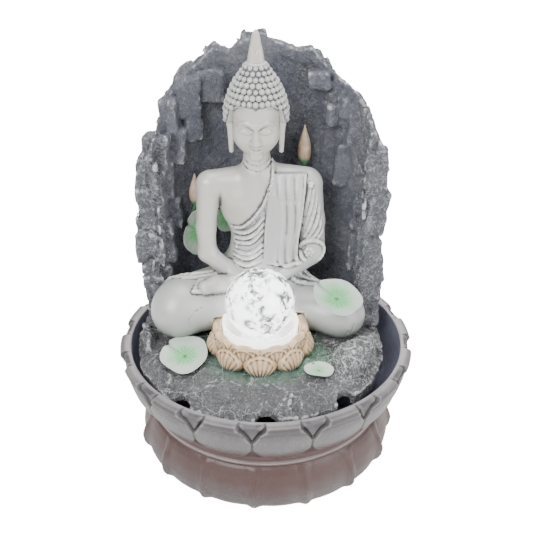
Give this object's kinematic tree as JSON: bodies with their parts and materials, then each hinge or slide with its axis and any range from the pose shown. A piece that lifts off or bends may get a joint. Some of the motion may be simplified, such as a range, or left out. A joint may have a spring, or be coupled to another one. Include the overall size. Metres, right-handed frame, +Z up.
{
  "type": "tabletop water fountain",
  "caption": "Tabletop water fountain: a lotus basin on a lotus foot, a rock grotto with a seated figure, and a lit glass ball that turns on a water jet over a hidden pump.",
  "frame": {"origin": "centre of the underside, on the table under the basin's axis", "axes": "+Z up, the seated figure looks along -Y, +X to the right as seen from the front"},
  "size_m": [0.2172, 0.2172, 0.304],
  "materials": {
    "basin": "grey cast resin, rubbed with red-brown at the waist, satin",
    "rock": "slate-grey cast resin, dry-brushed with white, matt",
    "figure": "silver-grey cast resin, satin",
    "lotus": "tan and old gold over dark green, satin",
    "leaf": "pale green painted resin, matt",
    "bud": "cream and pink-brown painted resin, matt",
    "clear_plastic": "clear moulded acrylic",
    "ball": "polished clear glass with inner cracks, lit from below",
    "dark_plastic": "black moulded plastic",
    "white_plastic": "white moulded plastic",
    "soft_rubber": "soft black rubber",
    "silicone": "milky silicone tube",
    "board": "white printed board",
    "led": "yellow phosphor in a white frame",
    "magnet": "dark ferrite",
    "steel": "laminated iron",
    "copper": "enamelled copper winding",
    "bearing": "ground white ceramic"
  },
  "bodies": {
    "base": {"basin": "basin", "foot_ring": "basin", "rubber_feet": "soft_rubber", "suction_cups": "soft_rubber", "pump_body": "dark_plastic", "pump_back_plate": "dark_plastic", "cable_gland": "soft_rubber", "stator_core": "steel", "coils": "copper", "pump_shaft": "bearing", "chamber_seal": "soft_rubber"},
    "insert": {"rock_deck": "rock", "grotto_wall": "rock", "seated_figure": "figure", "lotus_seat": "lotus", "lily_pad_left": "leaf", "lily_pad_knee": "leaf", "lily_pad_small": "leaf", "lotus_bud_left": "bud", "lotus_bud_right": "bud", "wall_leaf": "leaf", "light_housing": "dark_plastic", "led_board": "board", "led_chips": "led", "light_lens": "clear_plastic", "jet_pipe": "dark_plastic", "hose": "silicone"},
    "cup": {"ball_cup": "clear_plastic"},
    "ball": {"glass_ball": "ball"},
    "cover": {"pump_cover": "dark_plastic", "front_bush": "soft_rubber"},
    "flow_slider": {"flow_slide": "dark_plastic"},
    "rotor": {"impeller": "white_plastic", "rotor_magnet": "magnet"}
  },
  "joints": [
    {"name": "insert_lift", "type": "slide", "parent": "base", "child": "insert", "axis": [0, 0, 1], "range_m": [0, 0.1]},
    {"name": "cup_lift", "type": "slide", "parent": "insert", "child": "cup", "axis": [0, 0, 1], "range_m": [0, 0.04]},
    {"name": "ball_spin", "type": "hinge", "parent": "cup", "child": "ball", "pos_m": [-0.004, -0.016, 0.121], "axis": [1, 0, 0], "continuous": true},
    {"name": "cover_pull", "type": "slide", "parent": "base", "child": "cover", "axis": [0, -1, 0], "range_m": [0, 0.014]},
    {"name": "flow_adjust", "type": "slide", "parent": "cover", "child": "flow_slider", "axis": [1, 0, 0], "range_m": [0, 0.0026]},
    {"name": "rotor_spin", "type": "hinge", "parent": "base", "child": "rotor", "pos_m": [-0.004, -0.016, 0.031], "axis": [0, 1, 0], "continuous": true}
  ]
}
